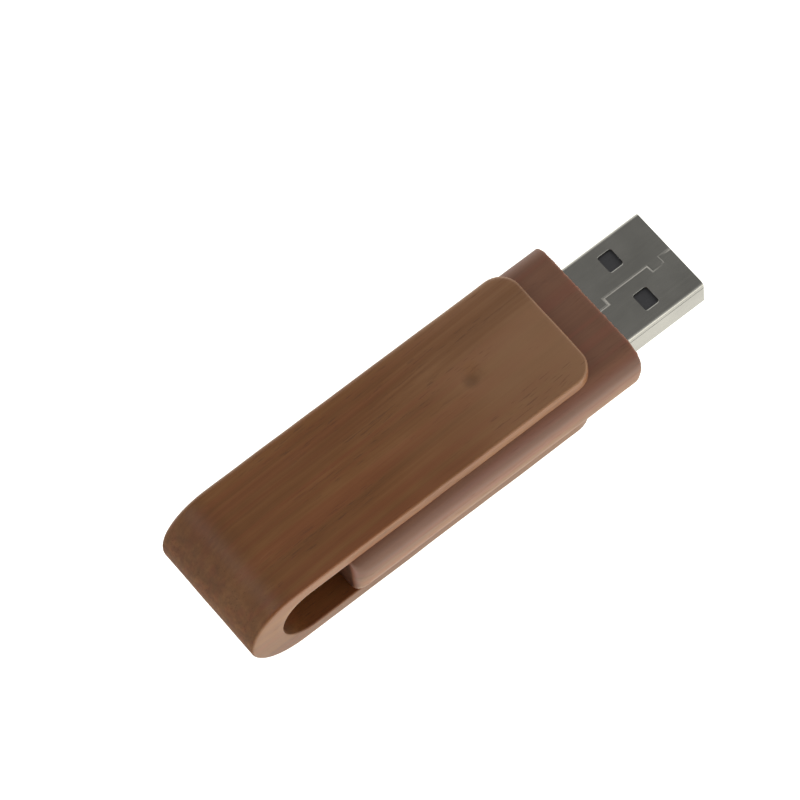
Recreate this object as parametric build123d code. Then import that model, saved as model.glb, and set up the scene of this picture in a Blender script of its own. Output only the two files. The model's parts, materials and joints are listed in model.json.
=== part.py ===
from build123d import *
import os

# A swivel flash drive of wood: a U-shaped cover turns about a flat drive body
# that carries a USB type A plug. Millimetres, +X towards the plug, +Z up.
# The origin is under the middle of the whole drive, on the face it lies on.

# Reaches along X, all measured from the pivot axis
bend_reach = 38.25
slot_reach = 33.8
open_end_reach = 11.3
body_front_reach = 16.8
body_rear_reach = 24.1
plug_reach = 28.2
pivot_x = (bend_reach - plug_reach) / 2

# Swivel cover: one block with a slot milled in from its open end
cover_width = 16.9
cover_thickness = 12.0
plate_thickness = 2.05
bend_depth = 6.9
cover_corner_radius = 2.75
cover_edge_radius = 0.35
mid_z = cover_thickness / 2
slot_height = cover_thickness - 2 * plate_thickness

# Drive body: two wooden halves around a milled pocket
swivel_gap = 0.1
body_width = 18.9
body_thickness = slot_height - 2 * swivel_gap
body_front_corner = 0.8
body_rear_corner = 1.5
body_edge_radius = 2.5
pocket_width = 15.2
pocket_height = 4.8
pocket_rear_reach = 22.2
pocket_front_reach = 11.4

# Pivot: a short steel pin in each cover plate, hidden under a wooden plug
pin_radius = 1.0
pin_running_clearance = 0.05
pin_engagement = 1.2
plug_cap_radius = 1.1
plug_cap_seat_depth = 0.6
plug_cap_height = 0.5
plug_cap_dish = 0.16

# USB type A plug, seam side up
plug_width = 12.0
plug_height = 4.5
plug_length = 18.75
plug_offset_y = -0.5
shell_wall = 0.3
shell_corner_radius = 0.6
shell_fit = 0.05
window_from_tip = 5.2
window_length = 1.9
window_width = 2.4
window_spacing = 6.3
window_corner_radius = 0.2
seam_width = 0.12
seam_depth = 0.12
seam_jog = 1.0
seam_tab_start = 1.67
seam_tab_end = 3.3
seam_root_jog = 9.9
insulator_recess = 0.3
insulator_length = 13.3
insulator_thickness = 1.9
contact_width = 1.0
contact_thickness = 0.25
contact_proud = 0.05
contact_tail = 2.2
power_contact_start = 1.4
data_contact_start = 2.4
power_contact_y = 3.5
data_contact_y = 1.0

# Circuit board and what is soldered to it
board_thickness = 0.8
board_width = 13.8
board_rear_reach = 21.4
tongue_width = 11.2
lead_thickness = 0.15
flash_body = (18.4, 12.0, 1.0)
flash_standoff = 0.1
flash_reach_x = -9.8
flash_lead_span = 20.0
flash_leads_per_side = 24
controller_body = (7.0, 7.0, 1.4)
controller_standoff = 0.1
controller_reach_x = 2.2
controller_lead_span = 9.0
controller_leads_per_side = 12
lead_pitch = 0.5
lead_width = 0.22
lead_foot = 0.5
crystal_base_size = (3.2, 2.5, 0.5)
crystal_lid_size = (2.8, 2.1, 0.3)
crystal_place = (-7.0, -3.6)
chip_length = 1.6
chip_width = 0.8
capacitor_height = 0.8
resistor_height = 0.45
capacitor_places = [(-3.6, 4.2), (-3.6, 0.6), (-7.0, 4.6), (-7.0, 2.4), (-12.4, 4.6), (-12.4, 2.4)]
resistor_places = [(-7.0, 0.0), (-12.4, -2.2), (-12.4, -4.4), (-15.6, 0.6)]
solder_size = (1.6, 1.3, 0.3)
pad_size = (12.0, 8.0)

# Levels, worked out from the mid plane
insulator_bottom = mid_z + plug_height / 2 - shell_wall - insulator_thickness
contact_bottom = insulator_bottom - contact_proud
board_top = contact_bottom
board_bottom = board_top - board_thickness
pocket_floor = mid_z - pocket_height / 2
tip_x = pivot_x + plug_reach
shell_rear_x = tip_x - plug_length
insulator_rear_x = tip_x - insulator_recess - insulator_length
board_front_x = insulator_rear_x - 0.1
board_rear_x = pivot_x - board_rear_reach


def save(part, name):
    part.label = name
    export_step(part, f"parts/{name}.step")


def box_between(low, high):
    size = [b - a for a, b in zip(low, high)]
    return Pos(*low) * Box(*size, align=Align.MIN)


def chip(size, x, y, z):
    """A box with its base centre at x, y, z."""
    return Pos(x, y, z) * Box(*size, align=(Align.CENTER, Align.CENTER, Align.MIN))


def along_y(sketch, width):
    """Extrude a profile drawn in X and Z to both sides of the middle."""
    return extrude(Plane.XZ * sketch, width / 2, both=True)


def mirror_to_lower(part):
    return mirror(part, Plane.XY.offset(mid_z))


def slot_profile():
    """The slot seen from the side: straight walls and a round end."""
    end_x = pivot_x - slot_reach + slot_height / 2
    run = pivot_x + open_end_reach + 5 - end_x
    straight = Pos(end_x + run / 2, mid_z) * Rectangle(run, slot_height)
    return straight + Pos(end_x, mid_z) * Circle(slot_height / 2)


def swivel_cover():
    bend_x = pivot_x - bend_reach + bend_depth
    open_x = pivot_x + open_end_reach
    run = open_x - bend_x
    outline = Pos(bend_x + run / 2, mid_z) * Rectangle(run, cover_thickness)
    outline += Pos(bend_x, mid_z) * Ellipse(bend_depth, cover_thickness / 2)
    cover = along_y(outline - slot_profile(), cover_width)
    corners = cover.edges().filter_by(Axis.Z).group_by(Axis.X)[-1]
    cover = fillet(corners, cover_corner_radius)
    rims = cover.faces().filter_by(Axis.Z).sort_by(Axis.Z)
    ends = cover.faces().filter_by(Axis.Y)
    edges = rims[0].edges() + rims[-1].edges() + ends.edges()
    outer = [e for e in edges if abs(e.center().Z - mid_z) > slot_height / 2 + 0.2 or is_bend(e)]
    cover = fillet(unique(outer), cover_edge_radius)
    for seat in (plug_cap_seat(), mirror_to_lower(plug_cap_seat())):
        cover -= seat
    return cover - Pos(pivot_x, 0, mid_z) * Cylinder(pin_radius, cover_thickness + 1)


def is_bend(edge):
    """True for the curved outer edge around the bend, on either side."""
    return edge.bounding_box().min.X < pivot_x - bend_reach + 0.5


def unique(edges):
    """Drop edges that two faces share, which would be listed twice."""
    kept = []
    for edge in edges:
        if not any((edge.center() - k.center()).length < 1e-4 for k in kept):
            kept.append(edge)
    return kept


def plug_cap_seat():
    place = Pos(pivot_x, 0, cover_thickness - plug_cap_seat_depth)
    return place * Cylinder(plug_cap_radius, plug_cap_seat_depth + 1, align=(Align.CENTER, Align.CENTER, Align.MIN))


def pin_plug():
    """The wooden cap over the pin, with a shallow dish in its top."""
    place = Pos(pivot_x, 0, cover_thickness - plug_cap_seat_depth)
    cap = place * Cylinder(plug_cap_radius, plug_cap_height, align=(Align.CENTER, Align.CENTER, Align.MIN))
    dish_radius = (plug_cap_radius ** 2 + plug_cap_dish ** 2) / (2 * plug_cap_dish)
    top = cover_thickness - plug_cap_seat_depth + plug_cap_height
    return cap - Pos(pivot_x, 0, top - plug_cap_dish + dish_radius) * Sphere(dish_radius)


def pivot_pin():
    bottom = mid_z + body_thickness / 2 - pin_engagement
    top = cover_thickness - plug_cap_seat_depth
    height = top - bottom
    pin = Pos(pivot_x, 0, bottom) * Cylinder(pin_radius, height, align=(Align.CENTER, Align.CENTER, Align.MIN))
    return chamfer(pin.edges().group_by(Axis.Z)[0], 0.15)


def body_blank():
    """The outside of the closed body: cut square, with rounded long edges and softened corners."""
    length = body_front_reach + body_rear_reach
    centre_x = pivot_x + (body_front_reach - body_rear_reach) / 2
    plan = Rectangle(length, body_width)
    plan = fillet(plan.vertices().group_by(Axis.X)[-1], body_front_corner)
    plan = fillet(plan.vertices().group_by(Axis.X)[0], body_rear_corner)
    plan = Pos(centre_x, 0, mid_z) * extrude(plan, body_thickness / 2, both=True)
    section = RectangleRounded(body_width, body_thickness, body_edge_radius)
    section = extrude(Plane.YZ * section, length, both=True)
    return plan & Pos(centre_x, 0, mid_z) * section


def body_upper_half():
    pocket = box_between(
        (pivot_x - pocket_rear_reach, -pocket_width / 2, pocket_floor),
        (pivot_x + pocket_front_reach, pocket_width / 2, pocket_floor + pocket_height))
    mouth_size = (plug_length, plug_width + 2 * shell_fit, plug_height + 2 * shell_fit)
    mouth = Pos(tip_x - plug_length / 2, plug_offset_y, mid_z) * Box(*mouth_size)
    pin_bore = Pos(pivot_x, 0, mid_z) * Cylinder(pin_radius + pin_running_clearance, body_thickness + 1)
    body = body_blank() - pocket - mouth - pin_bore
    return split(body, Plane.XY.offset(mid_z), keep=Keep.TOP)


def seam_groove():
    """The joint of the folded shell: a dovetail tab near the tip, a second one at the root."""
    y = plug_offset_y
    step = y - seam_jog
    flare = 0.05
    x = [tip_x + 1, tip_x - seam_tab_start, tip_x - seam_tab_start + flare, tip_x - seam_tab_end]
    x += [tip_x - seam_tab_end + flare, tip_x - seam_root_jog, shell_rear_x - 1]
    points = [(x[0], y), (x[1], y), (x[2], step), (x[3], step), (x[4], y), (x[5], y), (x[5], step), (x[6], step)]
    groove = trace(Polyline(*points), seam_width)
    top = mid_z + plug_height / 2
    return Pos(0, 0, top - seam_depth) * extrude(groove, seam_depth + 1)


def usb_shell():
    centre = Pos(tip_x - plug_length / 2, plug_offset_y, mid_z)
    outer = RectangleRounded(plug_width, plug_height, shell_corner_radius)
    inner = RectangleRounded(plug_width - 2 * shell_wall, plug_height - 2 * shell_wall,
                             shell_corner_radius - shell_wall)
    shell = centre * extrude(Plane.YZ * outer, plug_length / 2, both=True)
    front = shell.faces().sort_by(Axis.X)[-1]
    shell = fillet(front.edges(), 0.12)
    shell -= centre * extrude(Plane.YZ * inner, plug_length, both=True)
    window = extrude(RectangleRounded(window_length, window_width, window_corner_radius), plug_height, both=True)
    window_x = tip_x - window_from_tip - window_length / 2
    for side in (-1, 1):
        shell -= Pos(window_x, plug_offset_y + side * window_spacing / 2, mid_z) * window
    return shell - seam_groove()


def usb_insulator():
    inner_width = plug_width - 2 * shell_wall - 0.02
    block = box_between(
        (insulator_rear_x, plug_offset_y - inner_width / 2, insulator_bottom),
        (tip_x - insulator_recess, plug_offset_y + inner_width / 2, insulator_bottom + insulator_thickness))
    upper = block.edges().filter_by(Axis.X).group_by(Axis.Z)[-1]
    block = fillet(upper, shell_corner_radius - shell_wall)
    front = block.faces().sort_by(Axis.X)[-1].edges().sort_by(Axis.Z)[0]
    block = chamfer(front, 0.3)
    for start, y in contact_layout().values():
        block -= contact_bar(start, y)
    return block


def contact_layout():
    """Each contact's start behind the tip, and its place across the plug."""
    return {
        "contact_vbus": (power_contact_start, power_contact_y),
        "contact_d_minus": (data_contact_start, data_contact_y),
        "contact_d_plus": (data_contact_start, -data_contact_y),
        "contact_gnd": (power_contact_start, -power_contact_y)}


def contact_bar(start, y):
    low = (insulator_rear_x - contact_tail, plug_offset_y + y - contact_width / 2, contact_bottom)
    high = (tip_x - start, plug_offset_y + y + contact_width / 2, contact_bottom + contact_thickness)
    return box_between(low, high)


def circuit_board():
    wide = box_between(
        (board_rear_x, plug_offset_y - board_width / 2, board_bottom),
        (shell_rear_x - 0.3, plug_offset_y + board_width / 2, board_top))
    tongue = box_between(
        (shell_rear_x - 1, plug_offset_y - tongue_width / 2, board_bottom),
        (board_front_x, plug_offset_y + tongue_width / 2, board_top))
    board = wide + tongue
    return fillet(board.edges().filter_by(Axis.Z).group_by(Axis.X)[0], 0.8)


def gull_wing(span, body_length, rise):
    """One bent lead on the +X side, foot on z = 0, centred on y = 0."""
    tip = span / 2
    knee = tip - lead_foot
    root = body_length / 2
    t = lead_thickness
    points = [(tip, 0), (knee - t, 0), (knee - t, rise - t), (root, rise - t)]
    points += [(root, rise), (knee, rise), (knee, t), (tip, t)]
    return along_y(make_face(Polyline(*points, close=True)), lead_width)


def lead_row(lead, count):
    first = -(count - 1) * lead_pitch / 2
    return [Pos(0, first + i * lead_pitch, 0) * lead for i in range(count)]


def flash_memory_leads():
    rise = flash_standoff + flash_body[2] / 2
    row = lead_row(gull_wing(flash_lead_span, flash_body[0], rise), flash_leads_per_side)
    leads = [Rot(0, 0, turn) * lead for turn in (0, 180) for lead in row]
    place = Pos(pivot_x + flash_reach_x, plug_offset_y, board_bottom) * Rot(180, 0, 0)
    return Compound([place * lead for lead in leads])


def flash_memory_package():
    package = chip(flash_body, 0, 0, flash_standoff)
    package = chamfer(package.edges().filter_by(Axis.Z), 0.15)
    return Pos(pivot_x + flash_reach_x, plug_offset_y, board_bottom) * Rot(180, 0, 0) * package


def controller_leads():
    rise = controller_standoff + controller_body[2] / 2
    row = lead_row(gull_wing(controller_lead_span, controller_body[0], rise), controller_leads_per_side)
    place = Pos(pivot_x + controller_reach_x, plug_offset_y, board_top)
    return Compound([place * Rot(0, 0, turn) * lead for turn in (0, 90, 180, 270) for lead in row])


def controller_package():
    package = chip(controller_body, 0, 0, controller_standoff)
    package = chamfer(package.edges().filter_by(Axis.Z), 0.4)
    return Pos(pivot_x + controller_reach_x, plug_offset_y, board_top) * package


def chips(places, height):
    size = (chip_length, chip_width, height)
    return Compound([chip(size, pivot_x + x, plug_offset_y + y, board_top) for x, y in places])


def crystal(size, lift):
    return chip(size, pivot_x + crystal_place[0], plug_offset_y + crystal_place[1], board_top + lift)


def solder_joints():
    """A low mound over each contact tail, and one at each side of the tongue."""
    length, width, height = solder_size
    tail_x = insulator_rear_x - contact_tail / 2
    mounds = []
    for y in (-power_contact_y, -data_contact_y, data_contact_y, power_contact_y):
        mound = chip((length, width, contact_thickness + height), tail_x, plug_offset_y + y, board_top)
        mound = fillet(mound.edges().group_by(Axis.Z)[-1], 0.25)
        mounds.append(mound - contact_bar(power_contact_start, y))
    gap = (plug_width - 2 * shell_wall - tongue_width) / 2
    for side in (-1, 1):
        y = plug_offset_y + side * (tongue_width + gap) / 2
        mounds.append(chip((2.5, gap, board_thickness), shell_rear_x + 1.6, y, board_bottom))
    return Compound(mounds)


def adhesive_pad():
    top = board_bottom - flash_standoff - flash_body[2]
    size = (*pad_size, top - pocket_floor)
    return chip(size, pivot_x + flash_reach_x, plug_offset_y, pocket_floor)


os.makedirs("parts", exist_ok=True)

upper = {"body_upper_half": body_upper_half(), "pivot_pin_top": pivot_pin(), "pin_plug_top": pin_plug()}
lower_names = {"body_upper_half": "body_lower_half", "pivot_pin_top": "pivot_pin_bottom",
               "pin_plug_top": "pin_plug_bottom"}
for name, part in upper.items():
    save(part, name)
    save(mirror_to_lower(part), lower_names[name])

save(swivel_cover(), "swivel_cover")
save(usb_shell(), "usb_shell")
save(usb_insulator(), "usb_insulator")
for name, (start, y) in contact_layout().items():
    save(contact_bar(start, y), name)
save(circuit_board(), "circuit_board")
save(flash_memory_package(), "flash_memory_package")
save(flash_memory_leads(), "flash_memory_leads")
save(controller_package(), "controller_package")
save(controller_leads(), "controller_leads")
save(crystal(crystal_base_size, 0), "crystal_base")
save(crystal(crystal_lid_size, crystal_base_size[2]), "crystal_lid")
save(chips(capacitor_places, capacitor_height), "ceramic_capacitors")
save(chips(resistor_places, resistor_height), "chip_resistors")
save(solder_joints(), "solder_joints")
save(adhesive_pad(), "adhesive_pad")
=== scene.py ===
import json
import math

import bmesh
import bpy
from mathutils import Matrix, Vector, noise


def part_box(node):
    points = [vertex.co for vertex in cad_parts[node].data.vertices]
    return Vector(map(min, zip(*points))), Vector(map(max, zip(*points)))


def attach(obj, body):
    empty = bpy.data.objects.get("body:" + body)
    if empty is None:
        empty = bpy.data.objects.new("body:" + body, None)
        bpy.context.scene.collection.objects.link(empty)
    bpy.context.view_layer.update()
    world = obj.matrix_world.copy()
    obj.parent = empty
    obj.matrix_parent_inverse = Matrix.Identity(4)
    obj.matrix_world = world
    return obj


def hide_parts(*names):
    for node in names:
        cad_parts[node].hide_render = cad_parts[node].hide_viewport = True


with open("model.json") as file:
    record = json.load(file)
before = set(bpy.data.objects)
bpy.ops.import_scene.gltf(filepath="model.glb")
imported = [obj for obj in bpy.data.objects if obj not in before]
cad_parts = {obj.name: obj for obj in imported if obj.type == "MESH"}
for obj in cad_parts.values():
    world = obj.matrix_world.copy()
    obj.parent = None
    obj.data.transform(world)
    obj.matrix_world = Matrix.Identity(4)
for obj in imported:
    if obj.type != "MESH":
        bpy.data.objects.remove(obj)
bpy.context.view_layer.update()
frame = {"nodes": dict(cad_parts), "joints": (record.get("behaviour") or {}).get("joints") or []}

# Shapes are worked out in millimetres in the row frame, and their meshes are stored in metres.
MM = 0.001


def node_box(name):
    """Lowest and highest corner of a CAD node, in millimetres."""
    low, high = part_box(name)
    return low / MM, high / MM


cover_low, cover_high = node_box("swivel_cover")
body_low = node_box("body_lower_half")[0]
body_high = node_box("body_upper_half")[1]
shell_low, shell_high = node_box("usb_shell")
cap_low, cap_high = node_box("pin_plug_top")
swivel = [joint for joint in frame["joints"] if joint["name"] == "cover_swivel"][0]
pivot = Vector(swivel["pos_m"]) / MM
mid_z = pivot.z

# Shared by the pieces. An edge that turns more than the sharp angle is not shaded smooth.
edge_steps = 5
round_steps = 48
cutter_reach = 1.0
plain_sharp_degrees = 32
cover_sharp_degrees = 60
shell_sharp_degrees = 40

# Swivel cover
plate_thickness = 2.05
bend_depth = 6.9
slot_reach = 33.8
cover_corner = 2.75
cover_lower_corner = 3.3
cover_edge = 0.35
cover_far_edge = 0.75
cover_slot_edge = 0.2
cover_flat_columns = 120
cover_bend_columns = 48
cover_cross_columns = 34
cover_corner_steps = 8
cover_side_shares = (0.25, 0.5, 0.75)
sanding_depth = 0.05
sanding_size = 4.5
sanding_seed = 3.1

# Wooden caps over the pins, and the dents they lie in
cap_radius = (cap_high.x - cap_low.x) / 2
cap_seat_depth = 0.6
cap_fit = 0.005
cap_rings = 12
dimple_depth = 0.2
dimple_radius = 1.1
dimple_shift_y = -0.25
dimple_layer = 0.5

# Drive body. Each kind of wear is (depth, size, seed).
body_section_radius = 2.5
body_front_corner = (1.5, 0.3)
body_front_corner_z = (2.8, 6.0)
body_rear_corner = 1.5
body_front_edge = 0.26
body_rear_edge = 0.4
body_columns = 80
body_flat_steps = 96
body_arc_steps = 10
body_flank_steps = 4
body_side_steps = body_flank_steps + body_arc_steps
body_end_narrowing = 0.985
split_layer = 0.05
saw_tears = ((0.06, 0.7, 7.7), (0.14, 0.22, 1.9))
rear_wear = (0.03, 2, 5.5)
side_wear = (0.03, 6, 9.4)
top_wear = (0.03, 5, 4.2)
pocket_low = Vector((pivot.x - 22.2, -7.6, mid_z - 2.4))
pocket_high = Vector((pivot.x + 11.4, 7.6, mid_z + 2.4))
pin_bore_radius = 1.05
pin_bore_reach = 6.0
shell_fit = 0.05

# Plug shell. The two lips are (width, depth) of the slope round a cut, and the shoulder where it
# starts to drop is given as shares of these.
shell_wall = 0.3
shell_corner = 0.55
shell_corner_steps = 8
shell_columns = 12
shell_lip = 0.07
shell_lip_steps = 4
window_from_tip = 5.2
window_size = (1.92, 2.4)
window_spacing = 6.3
window_corner = 0.3
window_corner_steps = 5
window_lip = (0.13, 0.1)
window_lip_bias = 0.3
window_end_lip = 0.3
window_depth = 1.2
lip_clearance = 0.3
lip_shoulder = (0.85, 0.06)
seam_width = 0.02
seam_depth = 0.1
seam_lip = (0.12, 0.09)
seam_low_side = 1.9
seam_jog = 1.0
seam_tab = (1.67, 3.3)
seam_tab_slant = 0.08
seam_root_jog = 9.9
crease_below_top = 0.88
crease_half = 0.07
crease_depth = 0.09
crease_reach = 0.2


# ---------------------------------------------------------------- mesh tools

def lerp(a, b, t):
    return a + (b - a) * t


def quarter_turn(steps):
    """Angles from 0 to 90 degrees, in radians."""
    return [math.pi / 2 * k / steps for k in range(steps + 1)]


def circle(centre, radius):
    angles = [2 * math.pi * k / round_steps for k in range(round_steps)]
    return [(centre.x + radius * math.cos(a), centre.y + radius * math.sin(a)) for a in angles]


def strip(bm, first, second, closed=False):
    """Join two equal rows of vertices with faces."""
    count = len(first)
    for k in range(count if closed else count - 1):
        n = (k + 1) % count
        corners = [first[k], first[n], second[n], second[k]]
        bm.faces.new(dict.fromkeys(corners))


def add_row(bm, points):
    return [bm.verts.new(point) for point in points]


def wavy(point, size, seed):
    """A smooth value from 0 to 1 that changes over about size millimetres, another one for each seed."""
    place = Vector(point) / size + Vector((seed, 2.7 * seed, -1.3 * seed))
    return min(max(0.5 + 0.75 * noise.noise(place), 0.0), 1.0)


def worn_by(point, wear):
    """How deep one kind of wear has gone at a point."""
    depth, size, seed = wear
    return depth * wavy(point, size, seed)


def face_outwards(bm):
    bmesh.ops.recalc_face_normals(bm, faces=bm.faces)
    if bm.calc_volume(signed=True) < 0:
        bmesh.ops.reverse_faces(bm, faces=bm.faces)
    bm.normal_update()


def soften(bm, depth, size, seed):
    """Let every surface sink a little here and there, as hand sanding leaves it."""
    face_outwards(bm)
    moves = [(vert, vert.normal * depth * wavy(vert.co, size, seed)) for vert in bm.verts]
    for vert, move in moves:
        vert.co -= move


def mark_edges(bm, sharp_degrees):
    """Shade smoothly over every edge that turns less than sharp_degrees."""
    limit = math.radians(sharp_degrees)
    for face in bm.faces:
        face.smooth = True
    for edge in bm.edges:
        edge.smooth = len(edge.link_faces) == 2 and edge.calc_face_angle(0) < limit


def make_object(bm, name, sharp_degrees=plain_sharp_degrees):
    """Finish a mesh made in millimetres and put it in the scene."""
    face_outwards(bm)
    mark_edges(bm, sharp_degrees)
    mesh = bpy.data.meshes.new(name)
    bm.to_mesh(mesh)
    bm.free()
    mesh.transform(Matrix.Scale(MM, 4))
    piece = bpy.data.objects.new(name, mesh)
    bpy.context.scene.collection.objects.link(piece)
    return piece


def cut(piece, tool, sharp_degrees=plain_sharp_degrees):
    """Take tool away from piece, and mark its edges anew."""
    step = piece.modifiers.new("cut", "BOOLEAN")
    step.operation = "DIFFERENCE"
    step.solver = "EXACT"
    step.object = tool
    depsgraph = bpy.context.evaluated_depsgraph_get()
    mesh = bpy.data.meshes.new_from_object(piece.evaluated_get(depsgraph))
    piece.modifiers.clear()
    bm = bmesh.new()
    bm.from_mesh(mesh)
    mark_edges(bm, sharp_degrees)
    bm.to_mesh(mesh)
    bm.free()
    piece.data = mesh
    bpy.data.objects.remove(tool)


def lathe(bm, centre, profile):
    """Turn (radius, z) points about a vertical line; the first and last lie on it."""
    rows = []
    for radius, z in profile[1:-1]:
        rows.append(add_row(bm, [(x, y, z) for x, y in circle(centre, radius)]))
    for first, second in zip(rows, rows[1:]):
        strip(bm, first, second, closed=True)
    for row, z in ((rows[0], profile[0][1]), (rows[-1], profile[-1][1])):
        tip = bm.verts.new((centre.x, centre.y, z))
        for k in range(round_steps):
            bm.faces.new((row[k], row[(k + 1) % round_steps], tip))


def prism(name, outlines):
    """A closed solid through stacked outlines, each a list of (x, y, z) points."""
    bm = bmesh.new()
    rows = [add_row(bm, outline) for outline in outlines]
    for first, second in zip(rows, rows[1:]):
        strip(bm, first, second, closed=True)
    bm.faces.new(rows[0])
    bm.faces.new(rows[-1])
    return make_object(bm, name)


def box_tool(name, low, high):
    corners = [(low.x, low.y), (high.x, low.y), (high.x, high.y), (low.x, high.y)]
    return prism(name, [[(x, y, z) for x, y in corners] for z in (low.z, high.z)])


def round_tool(name, centre, radius, low_z, high_z):
    ring = circle(centre, radius)
    return prism(name, [[(x, y, z) for x, y in ring] for z in (low_z, high_z)])


def rounded_outline(half_x, half_y, corner, steps):
    """Points round a rectangle with rounded corners, as offsets from its centre."""
    points = []
    for sign_x, sign_y, start in ((1, 1, 0), (-1, 1, 90), (-1, -1, 180), (1, -1, 270)):
        for k in range(steps + 1):
            angle = math.radians(start + 90 * k / steps)
            x = sign_x * (half_x - corner) + corner * math.cos(angle)
            y = sign_y * (half_y - corner) + corner * math.sin(angle)
            points.append((x, y))
    return points


# ---------------------------------------------------------------- swivel cover

bend_x = cover_low.x + bend_depth
slot_top = cover_high.z - plate_thickness
slot_radius = slot_top - mid_z
slot_x = pivot.x - slot_reach + slot_radius
cover_half = cover_high.y
last_cover_column = 2 * cover_flat_columns + cover_bend_columns


def cover_rows():
    """Rows across the cover, each as (place along the straight part, angle round the corner)."""
    corner = [90 * k / cover_corner_steps for k in range(1, cover_corner_steps + 1)]
    middle = [-1 + 2 * k / cover_cross_columns for k in range(cover_cross_columns + 1)]
    rows = [(-1, -math.radians(a)) for a in reversed(corner)]
    rows += [(q, 0.0) for q in middle]
    return rows + [(1, math.radians(a)) for a in corner]


def cover_section(column, end_x):
    """Outer and inner point of the U in a column as (x, z), each with its way into the wood.

    The cover stands on z = 0, so mid_z is also half its height."""
    if cover_flat_columns < column < last_cover_column - cover_flat_columns:
        turn = math.pi * (0.5 + (column - cover_flat_columns) / cover_bend_columns)
        c, s = math.cos(turn), math.sin(turn)
        outer = Vector((bend_x + bend_depth * c, mid_z + mid_z * s))
        inner = Vector((slot_x + slot_radius * c, mid_z + slot_radius * s))
        return outer, -Vector((c / bend_depth, s / mid_z)).normalized(), inner, Vector((c, s))
    side = 1 if column <= cover_flat_columns else -1
    share = min(column, last_cover_column - column) / cover_flat_columns
    outer = Vector((lerp(end_x, bend_x, share), mid_z + side * mid_z))
    inner = Vector((lerp(end_x, slot_x, share), mid_z + side * slot_radius))
    return outer, Vector((0, -side)), inner, Vector((0, side))


def cover_point(column, row, face, inset, depth):
    """A point of the cover: inset from its outline, and depth below its outer or inner face."""
    place, angle = row
    corner = lerp(cover_corner, cover_lower_corner, column / last_cover_column)
    y = place * (cover_half - corner) + (corner - inset) * math.sin(angle)
    end_x = cover_high.x - inset - (corner - inset) * (1 - math.cos(angle))
    outer, outer_in, inner, inner_in = cover_section(column, end_x)
    point = outer + outer_in * depth if face == "outer" else inner + inner_in * depth
    return Vector((point.x, y, point.y))


def cover_edge_radius(row):
    """The far long edge is sanded rounder than the others."""
    place, angle = row
    return lerp(cover_edge, cover_far_edge, math.sin(angle)) if place == 1 else cover_edge


def cover_face(bm, rows, face):
    """The outer or inner face of the U, up to where its edges start to turn."""
    edges = [cover_edge_radius(row) if face == "outer" else cover_slot_edge for row in rows]
    grid = []
    for column in range(last_cover_column + 1):
        points = [cover_point(column, row, face, edge, 0) for row, edge in zip(rows, edges)]
        grid.append(add_row(bm, points))
    for first, second in zip(grid, grid[1:]):
        strip(bm, first, second)
    return grid


def cover_rim(last_row):
    """(column, row) pairs once round the cover's outline."""
    rim = [(0, j) for j in range(last_row)]
    rim += [(i, last_row) for i in range(last_cover_column)]
    rim += [(last_cover_column, j) for j in range(last_row, 0, -1)]
    return rim + [(i, 0) for i in range(last_cover_column, 0, -1)]


def build_cover():
    rows = cover_rows()
    bm = bmesh.new()
    outer = cover_face(bm, rows, "outer")
    inner = cover_face(bm, rows, "inner")
    rim = cover_rim(len(rows) - 1)

    loops = [[outer[i][j] for i, j in rim]]
    for turn in quarter_turn(edge_steps)[1:]:
        points = []
        for i, j in rim:
            radius = cover_edge_radius(rows[j])
            inset = radius * (1 - math.sin(turn))
            depth = radius * (1 - math.cos(turn))
            points.append(cover_point(i, rows[j], "outer", inset, depth))
        loops.append(add_row(bm, points))
    side_top = [vert.co.copy() for vert in loops[-1]]
    side_bottom = [cover_point(i, rows[j], "inner", 0, cover_slot_edge) for i, j in rim]
    for share in cover_side_shares:
        loops.append(add_row(bm, [a.lerp(b, share) for a, b in zip(side_top, side_bottom)]))
    for turn in quarter_turn(edge_steps)[:-1]:
        inset = cover_slot_edge * (1 - math.cos(turn))
        depth = cover_slot_edge * (1 - math.sin(turn))
        loops.append(add_row(bm, [cover_point(i, rows[j], "inner", inset, depth) for i, j in rim]))
    loops.append([inner[i][j] for i, j in rim])
    for first, second in zip(loops, loops[1:]):
        strip(bm, first, second, closed=True)

    soften(bm, sanding_depth, sanding_size, sanding_seed)
    sink_dimples(bm)
    cover = make_object(bm, "wooden_swivel_cover", cover_sharp_degrees)
    top_seat = (cover_high.z - cap_seat_depth, cover_high.z + cutter_reach)
    bottom_seat = (-cutter_reach, cap_seat_depth)
    for low_z, high_z in (top_seat, bottom_seat):
        seat = round_tool("seat", pivot, cap_radius + cap_fit, low_z, high_z)
        cut(cover, seat, cover_sharp_degrees)
    return cover


def dimple(point):
    """How deep the soft dent over the pins is at a point."""
    distance = math.hypot(point.x - pivot.x, point.y - pivot.y - dimple_shift_y)
    return dimple_depth * math.exp(-(distance / dimple_radius) ** 2)


def sink_dimples(bm):
    """Sink the vertices round the pivot that lie within dimple_layer of the cover's top or bottom."""
    for vert in bm.verts:
        if vert.co.z > cover_high.z - dimple_layer:
            vert.co.z -= dimple(vert.co)
        elif vert.co.z < dimple_layer:
            vert.co.z += dimple(vert.co)


def build_cap(name, upper):
    """The round wooden cap over a pin, which follows the sanded and dented face round it."""
    profile = [(cap_radius * k / cap_rings, cap_seat_depth) for k in range(cap_rings + 1)]
    profile += [(cap_radius, 0), (cap_radius * 0.5, 0), (0, 0)]
    bm = bmesh.new()
    lathe(bm, pivot, profile)
    for vert in bm.verts:
        if vert.co.z > cap_seat_depth / 2:
            face = Vector((vert.co.x, vert.co.y, cover_high.z if upper else 0))
            vert.co.z -= dimple(face) + sanding_depth * wavy(face, sanding_size, sanding_seed)
        if upper:
            vert.co.z = cover_high.z - cap_seat_depth + vert.co.z
        else:
            vert.co.z = cap_seat_depth - vert.co.z
    return make_object(bm, name)


# ---------------------------------------------------------------- drive body

body_half = body_high.y


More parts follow.
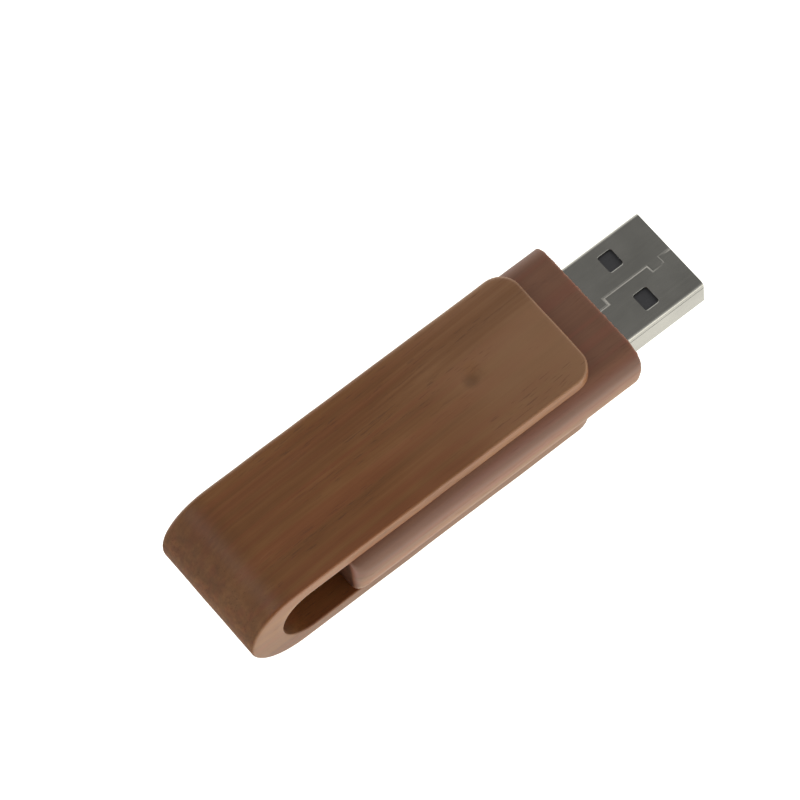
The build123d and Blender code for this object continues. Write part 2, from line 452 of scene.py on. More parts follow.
def body_ring(inset):
    """Half of the body's section from the split plane over the top, as (y, height over the plane)."""
    height = body_high.z - mid_z
    r = body_section_radius
    side = [(body_half - inset, (height - r) * k / body_flank_steps) for k in range(body_flank_steps)]
    for angle in quarter_turn(body_arc_steps):
        y = body_half - r + (r - inset) * math.cos(angle)
        side.append((y, height - r + (r - inset) * math.sin(angle)))
    flat = [(body_half - r) * (1 - 2 * k / body_flat_steps) for k in range(1, body_flat_steps)]
    ring = [(-y, z) for y, z in side]
    ring += [(-y, height - inset) for y in flat]
    return ring + [(y, z) for y, z in reversed(side)]


def outline_back(y, corner):
    """How far the body's rounded plan lies behind its straight end at y."""
    over = abs(y) - (body_half - corner)
    return corner - math.sqrt(max(corner ** 2 - over ** 2, 0)) if over > 0 else 0


def body_end_point(front, y, z, back):
    """A point of an end face, or back from it on its rounded edge.

    The saw has torn the front a little, and the front's corners are rounder low down."""
    if not front:
        wear = worn_by((0, y, z), rear_wear)
        return Vector((body_low.x + back + outline_back(y, body_rear_corner) + wear, y, z))
    tear = sum(worn_by((0, y, z), wear) for wear in saw_tears)
    from_z, to_z = body_front_corner_z
    rise = min(max((z - from_z) / (to_z - from_z), 0), 1)
    corner = lerp(*body_front_corner, rise * rise * (3 - 2 * rise))
    return Vector((body_high.x - back - outline_back(y, corner) - tear, y, z))


def body_end_rings(front, sign):
    """Rings from the side of the body round the edge onto its end face."""
    edge = body_front_edge if front else body_rear_edge
    rings = []
    for turn in quarter_turn(edge_steps):
        section = body_ring(edge * (1 - math.cos(turn)))
        back = edge * (1 - math.sin(turn))
        rings.append([body_end_point(front, y, mid_z + sign * z, back) for y, z in section])
    return rings


def close_body_end(bm, ring, front):
    """Fill an end face with rows that run level from one side to the other."""
    top = ring[body_side_steps:-body_side_steps]
    shares = [vert.co.y / top[-1].co.y for vert in top]
    above = [ring[body_side_steps - 1]] + top + [ring[-body_side_steps]]
    for k in range(body_side_steps - 2, -1, -1):
        left, right = ring[k], ring[-1 - k]
        reach = right.co.y
        row = [left]
        for share in shares:
            point = body_end_point(front, share * reach * body_end_narrowing, left.co.z, 0)
            row.append(bm.verts.new(point))
        row.append(right)
        strip(bm, above, row)
        above = row


def wear_body(bm, sign):
    """Take a little off the sides and the flat face, but nothing within split_layer of the split plane."""
    for vert in bm.verts:
        if abs(vert.co.z - mid_z) > split_layer:
            vert.co.y *= 1 - worn_by(vert.co, side_wear) / body_half
            vert.co.z -= sign * worn_by(vert.co, top_wear) * min(abs(vert.co.z - mid_z), 1)


def build_body_half(name, upper):
    sign = 1 if upper else -1
    front = body_end_rings(True, sign)
    rear = body_end_rings(False, sign)
    rows = list(reversed(rear))
    for k in range(1, body_columns):
        rows.append([a.lerp(b, k / body_columns) for a, b in zip(rear[0], front[0])])
    rows += front
    bm = bmesh.new()
    rings = [add_row(bm, row) for row in rows]
    for first, second in zip(rings, rings[1:]):
        strip(bm, first, second)
    close_body_end(bm, rings[-1], True)
    close_body_end(bm, rings[0], False)
    rim = [edge for edge in bm.edges if len(edge.link_faces) == 1]
    bmesh.ops.contextual_create(bm, geom=rim)
    wear_body(bm, sign)
    half = make_object(bm, name)

    cut(half, box_tool("pocket", pocket_low, pocket_high))
    mouth_low = Vector((pocket_high.x - cutter_reach, shell_low.y - shell_fit, shell_low.z - shell_fit))
    mouth_high = Vector((body_high.x + cutter_reach, shell_high.y + shell_fit, shell_high.z + shell_fit))
    cut(half, box_tool("mouth", mouth_low, mouth_high))
    bore = round_tool("bore", pivot, pin_bore_radius, mid_z - pin_bore_reach, mid_z + pin_bore_reach)
    cut(half, bore)
    return half


# ---------------------------------------------------------------- USB plug

shell_centre = (shell_low + shell_high) / 2


def shell_ring(x, inset):
    half_y = (shell_high.y - shell_low.y) / 2 - inset
    half_z = (shell_high.z - shell_low.z) / 2 - inset
    outline = rounded_outline(half_y, half_z, shell_corner - inset, shell_corner_steps)
    return [(x, shell_centre.y + y, shell_centre.z + z) for y, z in outline]


def lip_levels(lip, below):
    """(how much wider, depth) of a cutter that leaves a sloping lip, from above the sheet downwards."""
    width, depth = lip
    shoulder = (width * lip_shoulder[0], depth * lip_shoulder[1])
    return [(width, -lip_clearance), (width, 0), shoulder, (0, depth), (0, below)]


def window_tool(side, upper):
    """One punched window, through the top or the bottom of the shell, with its rim drawn in."""
    centre_x = shell_high.x - window_from_tip - window_size[0] / 2
    centre_y = shell_centre.y + side * window_spacing / 2
    surface, down = (shell_high.z, -1) if upper else (shell_low.z, 1)
    outlines = []
    for wider, depth in lip_levels(window_lip, window_depth):
        end_wider = wider * window_end_lip
        half_x = window_size[0] / 2 + end_wider
        half_y = window_size[1] / 2 + wider
        ring = rounded_outline(half_x, half_y, window_corner + end_wider, window_corner_steps)
        shift = wider * window_lip_bias
        z = surface + down * depth
        outlines.append([(centre_x + x, centre_y + y - shift, z) for x, y in ring])
    return prism("window", outlines)


def seam_route():
    """The line where the folded shell's edges meet: a dovetail near the tip and a step at the root."""
    y, step = shell_centre.y, shell_centre.y - seam_jog
    tip, root = shell_high.x, shell_low.x
    tab_front, tab_back = tip - seam_tab[0], tip - seam_tab[1]
    jog_x = tip - seam_root_jog
    return [
        (tip + cutter_reach, y), (tab_front, y), (tab_front + seam_tab_slant, step), (tab_back, step),
        (tab_back - seam_tab_slant, y), (jog_x, y), (jog_x, step), (root - cutter_reach, step)]


def beside(route, offset):
    """The route moved sideways, with its corners kept sharp."""
    lines = []
    for (ax, ay), (bx, by) in zip(route, route[1:]):
        along = Vector((bx - ax, by - ay)).normalized()
        side = Vector((-along.y, along.x)) * offset
        lines.append((Vector((ax, ay)) + side, along))
    points = [lines[0][0]]
    for (a, along_a), (b, along_b) in zip(lines, lines[1:]):
        cross = along_a.x * along_b.y - along_a.y * along_b.x
        gap = b - a
        points.append(a + along_a * ((gap.x * along_b.y - gap.y * along_b.x) / cross))
    start, along = lines[-1]
    return points + [start + along * (Vector(route[-1]) - Vector(route[-2])).length]


def seam_tool():
    route = seam_route()
    half = seam_width / 2
    outlines = []
    for wider, depth in lip_levels(seam_lip, seam_depth):
        one_side = beside(route, half + wider * seam_low_side)
        other_side = beside(route, -half - wider)
        ring = one_side + list(reversed(other_side))
        outlines.append([(point.x, point.y, shell_high.z - depth) for point in ring])
    return prism("seam", outlines)


def crease_tool(side):
    """The fine fold line along a side of the shell."""
    wall = shell_high.y if side > 0 else shell_low.y
    z = shell_high.z - crease_below_top
    outside = wall + side * crease_reach
    profile = [(outside, z - crease_half), (outside, z + crease_half), (wall, z + crease_half)]
    profile += [(wall - side * crease_depth, z), (wall, z - crease_half)]
    ends = (shell_low.x - cutter_reach, shell_high.x + cutter_reach)
    return prism("crease", [[(x, y, z) for y, z in profile] for x in ends])


def shell_stations():
    """(x, inset) from the root along the outside, round the tip's lip and back along the inside."""
    tip, root = shell_high.x, shell_low.x
    lip_x = tip - shell_lip
    steps = range(1, shell_columns)
    stations = [(root, 0)]
    stations += [(lerp(root, lip_x, k / shell_columns), 0) for k in steps]
    for turn in quarter_turn(shell_lip_steps):
        stations.append((tip - shell_lip * (1 - math.sin(turn)), shell_lip * (1 - math.cos(turn))))
    for turn in quarter_turn(shell_lip_steps):
        inset = shell_wall - shell_lip * (1 - math.sin(turn))
        stations.append((tip - shell_lip * (1 - math.cos(turn)), inset))
    stations += [(lerp(lip_x, root, k / shell_columns), shell_wall) for k in steps]
    return stations + [(root, shell_wall)]


def build_shell():
    bm = bmesh.new()
    rings = [add_row(bm, shell_ring(x, inset)) for x, inset in shell_stations()]
    for first, second in zip(rings, rings[1:] + rings[:1]):
        strip(bm, first, second, closed=True)
    shell = make_object(bm, "folded_steel_plug_shell", shell_sharp_degrees)
    for side in (-1, 1):
        for upper in (True, False):
            cut(shell, window_tool(side, upper), shell_sharp_degrees)
        cut(shell, crease_tool(side), shell_sharp_degrees)
    cut(shell, seam_tool(), shell_sharp_degrees)
    return shell


# ---------------------------------------------------------------- materials

def srgb(red, green, blue):
    """A colour given as 0 to 255 screen values, as the shader wants it."""
    def linear(value):
        value /= 255
        return value / 12.92 if value <= 0.04045 else ((value + 0.055) / 1.055) ** 2.4
    return (linear(red), linear(green), linear(blue), 1)


class Recipe:
    """A node material and short calls for its nodes."""

    def __init__(self, name):
        self.material = bpy.data.materials.new(name)
        self.material.use_nodes = True
        self.tree = self.material.node_tree
        self.shader = self.tree.nodes["Principled BSDF"]

    def add(self, kind, inputs=(), **settings):
        node = self.tree.nodes.new(kind)
        for key, value in settings.items():
            setattr(node, key, value)
        for key, value in dict(inputs).items():
            if isinstance(value, bpy.types.NodeSocket):
                self.tree.links.new(value, node.inputs[key])
            else:
                node.inputs[key].default_value = value
        return node

    def millimetres(self):
        """Place in the row frame at rest, in millimetres. It moves with the piece."""
        place = self.add("ShaderNodeTexCoord").outputs["Object"]
        scale = 1 / MM
        mapping = self.add("ShaderNodeMapping", {"Vector": place, "Scale": (scale, scale, scale)})
        return mapping.outputs["Vector"]

    def facing(self):
        """The way the surface faces at rest. It moves with the piece."""
        return self.add("ShaderNodeTexCoord").outputs["Normal"]

    def axis(self, vector, name):
        return self.add("ShaderNodeSeparateXYZ", {"Vector": vector}).outputs[name]

    def vector(self, operation, a, b, output="Vector"):
        return self.add("ShaderNodeVectorMath", {0: a, 1: b}, operation=operation).outputs[output]

    def math(self, operation, a, b=0.0):
        return self.add("ShaderNodeMath", {0: a, 1: b}, operation=operation).outputs[0]

    def product(self, a, b):
        return self.math("MULTIPLY", a, b)

    def sum(self, *terms):
        """Add up (value, weight) pairs."""
        total = None
        for value, weight in terms:
            scaled = self.product(value, weight)
            total = scaled if total is None else self.math("ADD", total, scaled)
        return total

    def noise(self, place, stretch, offset=(0, 0, 0), detail=2.0, roughness=0.5, output="Factor"):
        """Noise whose features are about 1/stretch millimetres long each way."""
        moved = self.add("ShaderNodeMapping", {"Vector": place, "Location": offset, "Scale": stretch})
        inputs = {"Vector": moved.outputs["Vector"], "Scale": 1.0, "Detail": detail, "Roughness": roughness}
        node = self.add("ShaderNodeTexNoise", inputs)
        return node.outputs[0] if output == "Factor" else node.outputs["Color"]

    def ramp(self, factor, stops):
        node = self.add("ShaderNodeValToRGB", {"Fac": factor})
        elements = node.color_ramp.elements
        while len(elements) < len(stops):
            elements.new(0.5)
        for element, (position, colour) in zip(elements, stops):
            element.position = position
            element.color = colour
        return node.outputs["Color"]

    def between(self, value, low, high, to_low=0.0, to_high=1.0):
        """Map low..high to to_low..to_high, smoothly and clamped."""
        inputs = {"Value": value, "From Min": low, "From Max": high, "To Min": to_low, "To Max": to_high}
        return self.add("ShaderNodeMapRange", inputs, interpolation_type="SMOOTHSTEP").outputs["Result"]

    def blend(self, factor, first, second, kind="MIX"):
        """From the first colour at factor 0 to the second at 1.

        A Mix node takes its colours at inputs 6 and 7, and gives the result at output 2."""
        node = self.add("ShaderNodeMix", data_type="RGBA", blend_type=kind)
        for key, value in ((0, factor), (6, first), (7, second)):
            if isinstance(value, bpy.types.NodeSocket):
                self.tree.links.new(value, node.inputs[key])
            else:
                node.inputs[key].default_value = value
        return node.outputs[2]

    def bump(self, height, depth_mm, strength=1.0, normal=None):
        inputs = {"Height": height, "Distance": depth_mm * MM, "Strength": strength}
        if normal is not None:
            inputs["Normal"] = normal
        return self.add("ShaderNodeBump", inputs).outputs["Normal"]

    def finish(self, colour, roughness, normal, **constants):
        """Link what varies, and set what is the same all over on the shader's own sockets."""
        for key, value in (("Base Color", colour), ("Roughness", roughness), ("Normal", normal)):
            self.tree.links.new(value, self.shader.inputs[key])
        for key, value in constants.items():
            self.shader.inputs[key.replace("_", " ")].default_value = value
        return self.material


def shifted(offset, distance):
    return tuple(v + distance for v in offset)


def along_grain(r, place, offset, lean_degrees):
    """Place measured along grain that sways slowly and leans a little from X."""
    drift = r.noise(place, (0.03, 0.09, 0.09), offset, 1.0, output="Color")
    centred = r.vector("SUBTRACT", drift, (0.5, 0.5, 0.5))
    sway = r.vector("MULTIPLY", centred, (0, 1.2, 1.2))
    turn = (0, 0, -math.radians(lean_degrees))
    inputs = {"Vector": r.vector("ADD", place, sway), "Rotation": turn}
    return r.add("ShaderNodeMapping", inputs).outputs["Vector"]


def pale_towards_x(r, colour, place_x, level, mottling, paler_end):
    """Paler towards +X on flat faces. The paler end is (colour, amount, x where it starts, x where it is
    full).
    """
    paler_colour, amount, start, full = paler_end
    uneven = 12.0
    paleness = r.between(r.sum((place_x, 1.0), (mottling, uneven)), start + uneven / 2, full + uneven / 2)
    paleness = r.product(paleness, r.between(level, 0.2, 0.9))
    return r.blend(r.product(paleness, amount), colour, paler_colour)


def darken_heart(r, colour, grain, streaks, amount, dark):
    """A dark streak along the +Y side."""
    grain_y = r.axis(grain, "Y")
    inside = r.product(r.between(grain_y, 1.5, 4.0), r.between(grain_y, 6.2, 8.0, 1.0, 0.0))
    inside = r.product(inside, r.between(streaks, 0.3, 0.7, 1.3, 0.5))
    return r.blend(r.product(inside, amount), colour, dark)


def open_pores(r, place, grain, offset):
    """Short dark pores that lie along the grain, in loose clusters."""
    vessels = r.noise(grain, (0.45, 5.5, 5.5), shifted(offset, 11), 1.0, 0.5)
    clusters = r.noise(place, (0.05, 0.35, 0.35), shifted(offset, 5), 1.0)
    in_cluster = r.between(clusters, 0.44, 0.62)
    return r.product(r.between(vessels, 0.60, 0.70), in_cluster)


def paint_dent_shading(r, colour, place, amount, light, dark):
    """Painted shade low in the dents over the pins, with a painted highlight beside it."""
    flat = r.vector("MULTIPLY", place, (1, 1, 0))
    painted_highlight_patch = (0.6, 0.9, 0.7 * amount, light)
    painted_shade_patch = (-0.45, -0.45, amount, dark)
    for shift_x, shift_y, strength, shade in (painted_highlight_patch, painted_shade_patch):
        centre = (pivot.x + shift_x, pivot.y + shift_y, 0)
        distance = r.vector("DISTANCE", flat, centre, output="Value")
        colour = r.blend(r.between(distance, 0.2, 1.4, strength, 0.0), colour, shade)
    return colour


def fray_edge(r, colour, place_x, fibres, facing, frayed_x, torn):
    """Fibres the saw has torn at the edge at frayed_x show a little of their own colour."""
    fray = r.between(r.sum((place_x, 1.0), (fibres, 2.4)), frayed_x + 0.5, frayed_x + 1.5)
    fray = r.product(fray, r.between(facing, 0.5, 0.9, 1.0, 0.0))
    return r.blend(r.product(fray, 0.5), colour, torn)


def paint_side_light(r, colour, place, sideways, low_painted_tone, high_painted_tone):
    """Painted light and painted shade on the faces towards -Y and +Y: multiply them by one tone low down
    and another high up.
    """
    painted_side_tone = r.blend(r.between(r.axis(place, "Z"), 4.2, 7.8), low_painted_tone, high_painted_tone)
    shaded = r.blend(1.0, colour, painted_side_tone, "MULTIPLY")
    return r.blend(r.between(sideways, 0.4, 0.85), colour, shaded)


def wood(name, colours, paler_end, offset, band_size=1.8, lean_degrees=2.0, heart=0.0, dent_shading=0.0,
         pore_strength=0.4, end_shades=(0.62, 0.62), end_turn=(0.35, 0.97), end_roughness=0.45,
         roughness=0.32, painted_side_light=None, frayed_x=None):
    """Straight-grained wood with its grain along X, wiped with a thin satin finish.

    heart is the strength of the dark streak; the dent shading is the strength of the painted shade and
    painted highlight round the dents over the pins.
    The end shades darken the faces towards -X and +X: end grain's own darker tone, and where they are
    deeper, painted shade. They set in as the normal's X passes end_turn.
    end_roughness is what end grain adds to the roughness.
    The side tones, if given, are painted light and painted shade that multiply the sides low down and high
    up.
    frayed_x, if given, is where a frayed edge lies."""
    r = Recipe(name)
    place = r.millimetres()
    place_x = r.axis(place, "X")
    normal = r.facing()
    across = r.axis(normal, "X")
    facing = r.math("ABSOLUTE", across)
    sideways = r.math("ABSOLUTE", r.axis(normal, "Y"))
    level = r.math("ABSOLUTE", r.axis(normal, "Z"))
    grain = along_grain(r, place, offset, lean_degrees)

    bands = r.noise(grain, (0.012, 1 / band_size, 1 / band_size), offset, 2.5, 0.55)
    streaks = r.noise(grain, (0.022, 2.3, 2.3), offset, 3.0, 0.6)
    fibres = r.noise(grain, (0.2, 9.0, 9.0), offset, 2.0, 0.6)
    mottling = r.noise(place, (0.10, 0.22, 0.22), offset, 2.0)
    tone = r.sum((bands, 0.32), (streaks, 0.27), (fibres, 0.13), (mottling, 0.28))
    colour = r.ramp(tone, [(0.34, colours["dark"]), (0.5, colours["middle"]), (0.66, colours["light"])])
    hue = r.noise(grain, (0.014, 0.8, 0.8), shifted(offset, 31), 1.5)
    colour = r.blend(r.product(r.between(hue, 0.42, 0.64), 0.42), colour, colours["warm"])

    colour = pale_towards_x(r, colour, place_x, level, mottling, paler_end)
    colour = darken_heart(r, colour, grain, streaks, heart, colours["dark"])
    pores = open_pores(r, place, grain, offset)
    colour = r.blend(r.product(pores, pore_strength), colour, colours["pore"])

    # End grain is darker in its own right; where an end is darker still, as on the body's rear, that is
    # painted shade.
    end = r.between(facing, *end_turn)
    specks = r.noise(place, (0.7, 1.2, 1.2), offset, 3.0, 0.55)
    shade = r.between(across, -0.5, 0.5, *end_shades)
    end_tone = r.product(shade, r.between(specks, 0.3, 0.7, 0.85, 1.2))
    colour = r.blend(end, colour, r.blend(1.0, colour, end_tone, "MULTIPLY"))

    # Painted shade, a dark brown patch, and a painted highlight round the dents over the pins.
    colour = paint_dent_shading(r, colour, place, dent_shading, colours["light"], srgb(84, 48, 8))
    if frayed_x is not None:
        colour = fray_edge(r, colour, place_x, fibres, facing, frayed_x, srgb(150, 84, 58))
    # Painted light low down on the sides and painted shade high up on them.
    if painted_side_light is not None:
        colour = paint_side_light(r, colour, place, sideways, *painted_side_light)

    rough = r.sum((streaks, 0.08), (fibres, 0.06), (pores, 0.12), (end, end_roughness))
    rough = r.math("ADD", rough, roughness)
    relief = r.sum((streaks, 0.5), (fibres, 0.5), (pores, -1.2), (r.product(specks, end), 1.0))
    return r.finish(colour, rough, r.bump(relief, 0.005, 0.6), Specular_IOR_Level=0.38)


def steel(name, tint, lay, roughness=0.24):
    """Plated sheet steel with fine drawing lines, rub marks and faint haze. lay stretches the lines."""
    r = Recipe(name)
    place = r.millimetres()
    lines = r.noise(place, lay, (3, 1, 4), 3.0, 0.65)
    haze = r.noise(place, (0.16, 0.22, 0.22), (9, 2, 6), 3.0, 0.6)
    rubs = r.noise(place, (0.7, 5.0, 5.0), (2, 8, 1), 2.0, 0.7)
    marks = r.between(rubs, 0.72, 0.86)
    dull = tuple(v * 0.86 for v in tint[:3]) + (1,)
    colour = r.ramp(r.sum((haze, 0.75), (lines, 0.25)), [(0.35, dull), (0.62, tint)])
    colour = r.blend(r.product(marks, 0.12), colour, srgb(120, 116, 108))
    average_variation = 0.11
    rough = r.sum((haze, 0.12), (lines, 0.10), (marks, 0.08))
    rough = r.math("ADD", rough, roughness - average_variation)
    normal = r.bump(r.sum((lines, 1.0), (marks, -0.5)), 0.0003, 0.5)
    normal = r.bump(haze, 0.01, 0.2, normal)
    return r.finish(colour, rough, normal, Metallic=1.0)


def moulded(name, base, speck, grain_size, roughness, relief=0.004):
    """A moulded or fired material: a base colour with fine specks, slow mottling and a soft grain."""
    r = Recipe(name)
    place = r.millimetres()
    stretch = 1 / grain_size
    grain = r.noise(place, (stretch, stretch, stretch), (1, 5, 2), 3.0, 0.6)
    mottling = r.noise(place, (0.3, 0.3, 0.3), (4, 4, 9), 2.0)
    specks = r.between(r.sum((grain, 0.75), (mottling, 0.25)), 0.46, 0.66)
    colour = r.blend(r.product(specks, 0.5), base, speck)
    average_variation = 0.15
    rough = r.sum((grain, 0.2), (mottling, 0.1))
    rough = r.math("ADD", rough, roughness - average_variation)
    return r.finish(colour, rough, r.bump(grain, relief, 0.7))


def laminate(name):
    """Glass laminate: solder mask over a faint plain weave."""
    r = Recipe(name)
    place = r.millimetres()
    thread = {"Vector": place, "Scale": 2.2, "Distortion": 0.6}
    warp = r.add("ShaderNodeTexWave", thread, bands_direction="X")
    weft = r.add("ShaderNodeTexWave", thread, bands_direction="Y")
    weave = r.product(warp.outputs[1], weft.outputs[1])
    haze = r.noise(place, (0.2, 0.2, 0.2), (2, 2, 2), 2.0)
    colour = r.ramp(r.sum((weave, 0.4), (haze, 0.6)), [(0.2, srgb(12, 58, 38)), (0.7, srgb(34, 104, 66))])
    rough = r.math("ADD", r.product(haze, 0.2), 0.3)
    return r.finish(colour, rough, r.bump(weave, 0.01, 0.5))


def cover_wood(name):
    """Brown wood, paler on its faces towards its open end, with painted shade and a painted highlight round
    the dents over the pins. Its sides carry painted shade that makes them a little darker than its faces.
    """
    colours = {
        "dark": srgb(112, 69, 34), "middle": srgb(131, 85, 45), "light": srgb(148, 101, 59),
        "pore": srgb(70, 38, 20), "warm": srgb(136, 74, 42)}
    paler_end = (srgb(154, 116, 84), 0.85, -14.0, 24.0)
    # Painted shade on the sides of the cover.
    painted_side_shade = (0.90, 0.94, 0.92, 1)
    return wood(name, colours, paler_end, (3.0, 7.0, 1.0), heart=0.4, dent_shading=0.5, pore_strength=0.32,
                painted_side_light=(painted_side_shade, painted_side_shade))


def body_wood(name):
    """Redder wood with finer bands, frayed at its front edge. Painted light low down on its sides, painted
    shade high up on them, and painted shade deepening its rear end grain.
    """
    colours = {
        "dark": srgb(105, 67, 46), "middle": srgb(116, 76, 54), "light": srgb(127, 86, 61),
        "pore": srgb(74, 38, 26), "warm": srgb(128, 68, 50)}
    paler_end = (srgb(140, 104, 82), 0.25, -10.0, 20.0)
    # Painted light low down on the sides, and painted shade high up on them.
    painted_side_light = ((1.45, 1.85, 1.85, 1), (0.74, 0.69, 0.60, 1))
    # The rear end is darkened past its end grain tone by painted shade.
    return wood(name, colours, paler_end, (1.0, 4.0, 8.0), band_size=1.4, pore_strength=0.15,
                end_shades=(0.45, 0.8), end_turn=(0.97, 0.997), end_roughness=0.0, roughness=0.42,
                painted_side_light=painted_side_light, frayed_x=body_high.x)


def make_materials():
    return {
        "cover_wood": cover_wood("cover_wood"),
        "cover_plug_wood": cover_wood("cover_plug_wood"),
        "body_wood": body_wood("body_wood"),
        "plug_steel": steel("plug_steel", srgb(161, 159, 152), (0.2, 6.0, 6.0)),
        "pin_steel": steel("pin_steel", srgb(190, 190, 192), (9.0, 9.0, 0.8), 0.3),
        "lead_tin": steel("lead_tin", srgb(205, 206, 210), (4.0, 4.0, 4.0), 0.34),
        "crystal_metal": steel("crystal_metal", srgb(214, 206, 188), (3.0, 3.0, 3.0), 0.28),
        "contact_gold": steel("contact_gold", srgb(230, 182, 92), (0.6, 12.0, 12.0), 0.26),
        "solder": steel("solder", srgb(196, 198, 202), (2.0, 2.0, 2.0), 0.36),
        "insulator_plastic": moulded("insulator_plastic", srgb(58, 58, 60), srgb(72, 71, 73), 0.25, 0.5),
        "package_epoxy": moulded("package_epoxy", srgb(26, 27, 29), srgb(52, 52, 55), 0.12, 0.7),
        "crystal_ceramic": moulded("crystal_ceramic", srgb(70, 62, 56), srgb(96, 88, 80), 0.1, 0.7),
        "capacitor_ceramic": moulded(
            "capacitor_ceramic", srgb(150, 118, 86), srgb(176, 146, 112), 0.1, 0.6),
        "resistor_film": moulded("resistor_film", srgb(22, 22, 26), srgb(60, 60, 70), 0.1, 0.45),
        "adhesive_foam": moulded(
            "adhesive_foam", srgb(206, 204, 196), srgb(170, 168, 160), 0.2, 0.9, relief=0.03),
        "board_laminate": laminate("board_laminate"),
    }


# CAD nodes that keep their own shape, each with its material
NODE_MATERIALS = {
    "pivot_pin_top": "pin_steel", "pivot_pin_bottom": "pin_steel",
    "usb_insulator": "insulator_plastic",
    "contact_vbus": "contact_gold", "contact_d_minus": "contact_gold",
    "contact_d_plus": "contact_gold", "contact_gnd": "contact_gold",
    "circuit_board": "board_laminate",
    "flash_memory_package": "package_epoxy", "flash_memory_leads": "lead_tin",
    "controller_package": "package_epoxy", "controller_leads": "lead_tin",
    "crystal_base": "crystal_ceramic", "crystal_lid": "crystal_metal",
    "ceramic_capacitors": "capacitor_ceramic", "chip_resistors": "resistor_film",
    "solder_joints": "solder", "adhesive_pad": "adhesive_foam"}

# The ones that can be seen in the plug, each with the width of its bevel in millimetres
BEVELLED = {
    "usb_insulator": 0.06,
    "contact_vbus": 0.04, "contact_d_minus": 0.04, "contact_d_plus": 0.04, "contact_gnd": 0.04}


def dress_nodes(materials):
    """CAD nodes that keep their own shape get a material, and a fine bevel where they can be seen."""
    for name, key in NODE_MATERIALS.items():
        node = frame["nodes"][name]
        node.data.materials.clear()
        node.data.materials.append(materials[key])
    for name, width in BEVELLED.items():
        node = frame["nodes"][name]
        weld = node.modifiers.new("weld", "WELD")
        weld.merge_threshold = 0.001 * MM
        bevel = node.modifiers.new("bevel", "BEVEL")
        bevel.width = width * MM
        bevel.segments = 2
        bevel.limit_method = "ANGLE"


def settle(piece, body, slot, materials, *nodes):
    """Give a piece its material and its body, and hide the CAD nodes that it stands for."""
    even = piece.modifiers.new("even_shading", "WEIGHTED_NORMAL")
    even.keep_sharp = True
    piece.data.materials.clear()
    piece.data.materials.append(materials[slot])
    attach(piece, body)
    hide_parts(*nodes)


# ---------------------------------------------------------------- stage

# In metres
FLOOR_HALF_SIZE = 1.5


def make_floor():
    """A plain white floor that glows like a light table, and can be looked through from below."""
    bm = bmesh.new()
    bmesh.ops.create_grid(bm, x_segments=1, y_segments=1, size=FLOOR_HALF_SIZE)
    mesh = bpy.data.meshes.new("floor")
    bm.to_mesh(mesh)
    bm.free()
    floor = bpy.data.objects.new("floor", mesh)
    bpy.context.scene.collection.objects.link(floor)

    r = Recipe("floor_white")
    tree = r.tree
    r.shader.inputs["Base Color"].default_value = (0.3, 0.3, 0.3, 1)
    r.shader.inputs["Roughness"].default_value = 0.9
    r.shader.inputs["Specular IOR Level"].default_value = 0.0
    r.shader.inputs["Emission Color"].default_value = (1.0, 0.99, 0.93, 1)
    place = r.millimetres()
    distance = r.vector("LENGTH", place, (0, 0, 0), output="Value")
    far_glow = r.between(distance, 40.0, 120.0, 1.38, 1.95)
    front_glow = r.between(r.axis(place, "Y"), -13.0, -40.0)
    glow = r.sum((far_glow, 1.0), (front_glow, 1.2))
    tree.links.new(glow, r.shader.inputs["Emission Strength"])
    clear = r.add("ShaderNodeBsdfTransparent")
    mix = r.add("ShaderNodeMixShader")
    tree.links.new(r.add("ShaderNodeNewGeometry").outputs["Backfacing"], mix.inputs[0])
    tree.links.new(r.shader.outputs[0], mix.inputs[1])
    tree.links.new(clear.outputs[0], mix.inputs[2])
    tree.links.new(mix.outputs[0], tree.nodes["Material Output"].inputs["Surface"])
    mesh.materials.append(r.material)


# (height over the horizon, brightness), where 1 is straight up
SKY_LEVELS = [(0.0, 1.25), (0.15, 1.1), (0.35, 0.6), (0.6, 0.36), (0.75, 0.335), (1.0, 0.30)]
SKY_LEAN = (-0.5, 0.0, 1.0)


def make_sky():
    """Grey light that is brightest along the horizon, and brighter on the right than on the left."""
    world = bpy.data.worlds.new("studio")
    world.use_nodes = True
    tree = world.node_tree
    place = tree.nodes.new("ShaderNodeTexCoord")
    lean = tree.nodes.new("ShaderNodeVectorMath")
    lean.operation = "DOT_PRODUCT"
    lean.inputs[1].default_value = SKY_LEAN
    ramp = tree.nodes.new("ShaderNodeValToRGB")
    while len(ramp.color_ramp.elements) < len(SKY_LEVELS):
        ramp.color_ramp.elements.new(0.5)
    for element, (height, level) in zip(ramp.color_ramp.elements, SKY_LEVELS):
        element.position = height
        element.color = (level, level, level, 1)
    tree.links.new(place.outputs["Generated"], lean.inputs[0])
    tree.links.new(lean.outputs["Value"], ramp.inputs["Fac"])
    tree.links.new(ramp.outputs["Color"], tree.nodes["Background"].inputs["Color"])
    bpy.context.scene.world = world


def soft_light(name, place_mm, target_mm, size_mm, watts, colour, glossy=True):
    light = bpy.data.lights.new(name, "AREA")
    light.shape = "RECTANGLE"
    light.size = size_mm[0] * MM
    light.size_y = size_mm[1] * MM
    light.energy = watts
    light.color = colour
    lamp = bpy.data.objects.new(name, light)
    lamp.visible_glossy = glossy
    lamp.location = Vector(place_mm) * MM
    aim = Vector(target_mm) - Vector(place_mm)
    lamp.rotation_euler = aim.to_track_quat("-Z", "Y").to_euler()
    bpy.context.scene.collection.objects.link(lamp)


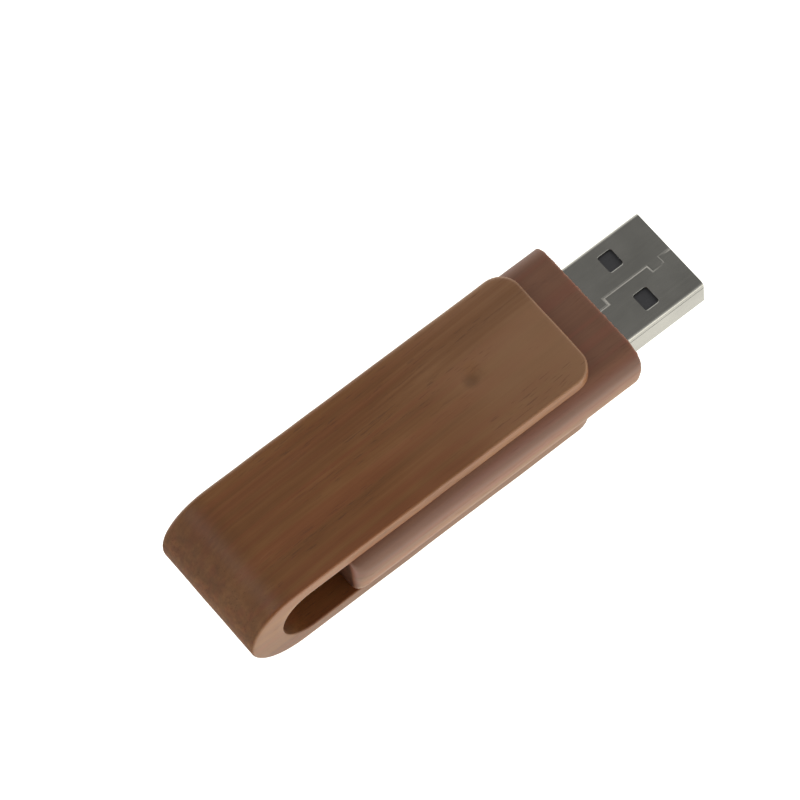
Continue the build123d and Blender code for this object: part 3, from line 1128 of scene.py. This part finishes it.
def make_lights():
    """The window light gives the bend its sheen, and the back light the plug's seam its bright line."""
    soft_light("window_light", (-230, 150, 290), (-29, 0, 9), (50, 240), 0.11, (0.86, 0.89, 1.0))
    soft_light("back_light", (90, 300, 170), (15, 5, 8), (260, 70), 0.028, (1.0, 0.95, 0.92))
    soft_light("side_fill", (115, 40, 62), (5, 0, 6), (110, 110), 0.035, (1.0, 0.98, 0.93), False)


# Angles in degrees, and lengths in millimetres. The aim is measured from the pivot.
CAMERA_AZIMUTH = -30.739
CAMERA_ELEVATION = 63.963
CAMERA_ROLL = -8.683
CAMERA_DISTANCE = 600.0
CAMERA_AIM = Vector((-6.474, 5.329, 0.0))
CAMERA_LENS = 240.077
CAMERA_SENSOR = 36


def make_camera():
    """Looks down on the drive from its front left, a little rolled."""
    azimuth = math.radians(CAMERA_AZIMUTH)
    elevation = math.radians(CAMERA_ELEVATION)
    roll = math.radians(CAMERA_ROLL)
    level = math.cos(elevation)
    back = Vector((math.sin(azimuth) * level, -math.cos(azimuth) * level, math.sin(elevation)))
    level_right = Vector((math.cos(azimuth), math.sin(azimuth), 0))
    level_up = back.cross(level_right)
    right = math.cos(roll) * level_right + math.sin(roll) * level_up
    up = math.cos(roll) * level_up - math.sin(roll) * level_right
    data = bpy.data.cameras.new("Camera")
    data.sensor_width = CAMERA_SENSOR
    data.lens = CAMERA_LENS
    data.clip_start = 0.01
    data.clip_end = 10
    camera = bpy.data.objects.new("Camera", data)
    camera.matrix_world = Matrix((right, up, back)).transposed().to_4x4()
    camera.location = (pivot + CAMERA_AIM + back * CAMERA_DISTANCE) * MM
    bpy.context.scene.collection.objects.link(camera)
    bpy.context.scene.camera = camera


# ---------------------------------------------------------------- assembly

materials = make_materials()
dress_nodes(materials)
settle(build_cover(), "cover", "cover_wood", materials, "swivel_cover")
settle(build_cap("wooden_pin_cap_top", True), "cover", "cover_plug_wood", materials, "pin_plug_top")
settle(build_cap("wooden_pin_cap_bottom", False), "cover", "cover_plug_wood", materials, "pin_plug_bottom")
settle(build_body_half("wooden_body_upper", True), "drive", "body_wood", materials, "body_upper_half")
settle(build_body_half("wooden_body_lower", False), "drive", "body_wood", materials, "body_lower_half")
settle(build_shell(), "drive", "plug_steel", materials, "usb_shell")
make_floor()
make_sky()
make_lights()
make_camera()
bpy.context.scene.view_settings.view_transform = "Standard"
